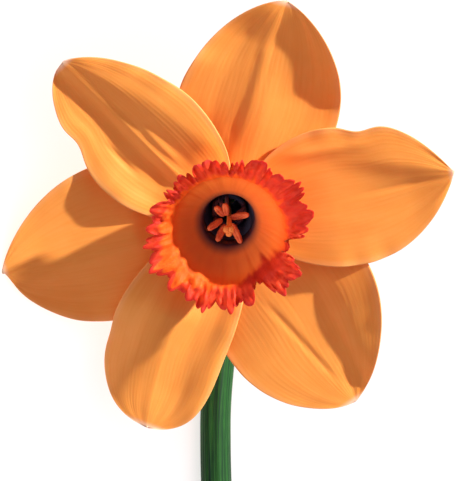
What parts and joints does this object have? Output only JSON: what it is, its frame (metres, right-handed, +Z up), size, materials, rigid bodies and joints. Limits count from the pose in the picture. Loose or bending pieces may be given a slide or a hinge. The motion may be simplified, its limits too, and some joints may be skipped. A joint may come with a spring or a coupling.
{
  "type": "daffodil flower",
  "caption": "Picked daffodil lying on a surface: orange perianth segments round a frilled red-rimmed cup, with stamens, style, tube, ovary, papery bract and cut green stem.",
  "frame": {"origin": "middle of the footprint, on the surface that the flower lies on", "axes": "+X along the stem towards its cut end, +Z up, and the cup faces between -Y and +Z"},
  "size_m": [0.2034, 0.0724, 0.0676],
  "materials": {
    "petal": "satin orange petal, finely veined",
    "cup": "satin orange, red at the frilled rim",
    "tube": "smooth green-yellow",
    "anther": "mealy orange",
    "stigma": "matte yellow-orange",
    "green": "waxy green, faintly ribbed",
    "bract": "dry papery brown, veined"
  },
  "bodies": {
    "root": {"outer_tepal_1": "petal", "outer_tepal_2": "petal", "outer_tepal_3": "petal", "inner_tepal_1": "petal", "inner_tepal_2": "petal", "inner_tepal_3": "petal", "corona": "cup", "floral_tube": "tube", "stamens": "anther", "style": "stigma", "ovary": "green", "pedicel": "green", "spathe": "bract", "stem": "green"}
  },
  "joints": []
}
